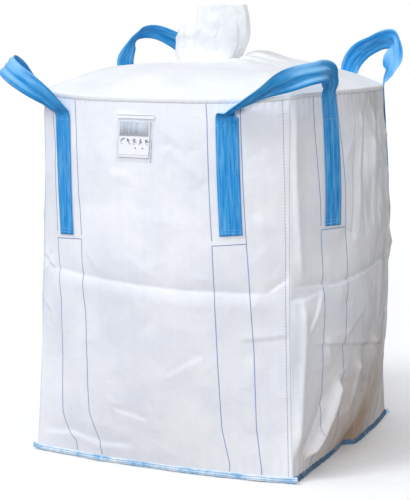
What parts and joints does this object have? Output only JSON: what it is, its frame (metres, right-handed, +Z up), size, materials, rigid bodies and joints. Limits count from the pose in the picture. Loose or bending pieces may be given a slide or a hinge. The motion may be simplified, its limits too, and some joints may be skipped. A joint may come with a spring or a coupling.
{
  "type": "bulk bag",
  "caption": "Filled bulk bag of white woven cloth, bulged square body, cross-corner webbing lifting loops, domed top with a filling spout and a clear document pouch",
  "frame": {"origin": "centre of the underside of the bottom panel, on the floor", "axes": "+Z up, -Y is the front panel with the document pouch, +X is the right-hand panel"},
  "size_m": [1.1446, 1.1364, 1.452],
  "materials": {
    "side_cloth": "woven tape cloth, satin sheen",
    "top_cloth": "woven tape cloth, matt",
    "spout_cloth": "light woven cloth, translucent look",
    "webbing": "flat woven webbing, satin",
    "binding_tape": "folded seam tape with stitching",
    "pouch_film": "clear film",
    "label_paper": null
  },
  "bodies": {
    "bag": {"bottom_panel": "side_cloth", "front_panel": "side_cloth", "right_panel": "side_cloth", "back_panel": "side_cloth", "left_panel": "side_cloth", "bottom_binding_front": "binding_tape", "bottom_binding_right": "binding_tape", "bottom_binding_back": "binding_tape", "bottom_binding_left": "binding_tape", "top_panel": "top_cloth", "spout_collar": "spout_cloth", "loop_front_right_leg_front": "webbing", "loop_front_right_leg_right": "webbing", "loop_front_left_leg_front": "webbing", "loop_front_left_leg_left": "webbing", "loop_back_left_leg_back": "webbing", "loop_back_left_leg_left": "webbing", "loop_back_right_leg_back": "webbing", "loop_back_right_leg_right": "webbing", "pouch_header": "pouch_film"},
    "spout": {"spout_tube": "spout_cloth"},
    "loop_front_right": {"loop_front_right_strap": "webbing"},
    "loop_front_left": {"loop_front_left_strap": "webbing"},
    "loop_back_left": {"loop_back_left_strap": "webbing"},
    "loop_back_right": {"loop_back_right_strap": "webbing"},
    "document_pouch": {"pouch_back_film": "pouch_film", "pouch_front_film": "pouch_film"},
    "label_card": {"label_card": "label_paper"}
  },
  "joints": [
    {"name": "spout_fold", "type": "hinge", "parent": "bag", "child": "spout", "pos_m": [-0.03, 0, 1.31], "axis": [1, 0, 0], "range_deg": [-70, 70]},
    {"name": "loop_front_right_swing", "type": "hinge", "parent": "bag", "child": "loop_front_right", "pos_m": [0.371, -0.3811, 1.16], "axis": [0.7001, 0.6698, 0.2476], "range_deg": [-25, 20]},
    {"name": "loop_front_left_swing", "type": "hinge", "parent": "bag", "child": "loop_front_left", "pos_m": [-0.409, -0.3748, 1.122], "axis": [0.6403, -0.7681, 0], "range_deg": [-15, 25]},
    {"name": "loop_back_left_swing", "type": "hinge", "parent": "bag", "child": "loop_back_left", "pos_m": [-0.3841, 0.3841, 1.207], "axis": [-0.7071, -0.7071, 0], "range_deg": [-60, 45]},
    {"name": "loop_back_right_swing", "type": "hinge", "parent": "bag", "child": "loop_back_right", "pos_m": [0.3849, 0.3817, 1.207], "axis": [-0.7018, 0.7124, 0], "range_deg": [-50, 45]},
    {"name": "pouch_lift", "type": "hinge", "parent": "bag", "child": "document_pouch", "pos_m": [-0.038, -0.5375, 1.104], "axis": [-0.9989, 0.0463, 0], "range_deg": [0, 150]},
    {"name": "card_slide", "type": "slide", "parent": "document_pouch", "child": "label_card", "axis": [0.9989, -0.0463, 0], "range_m": [0, 0.12]}
  ]
}
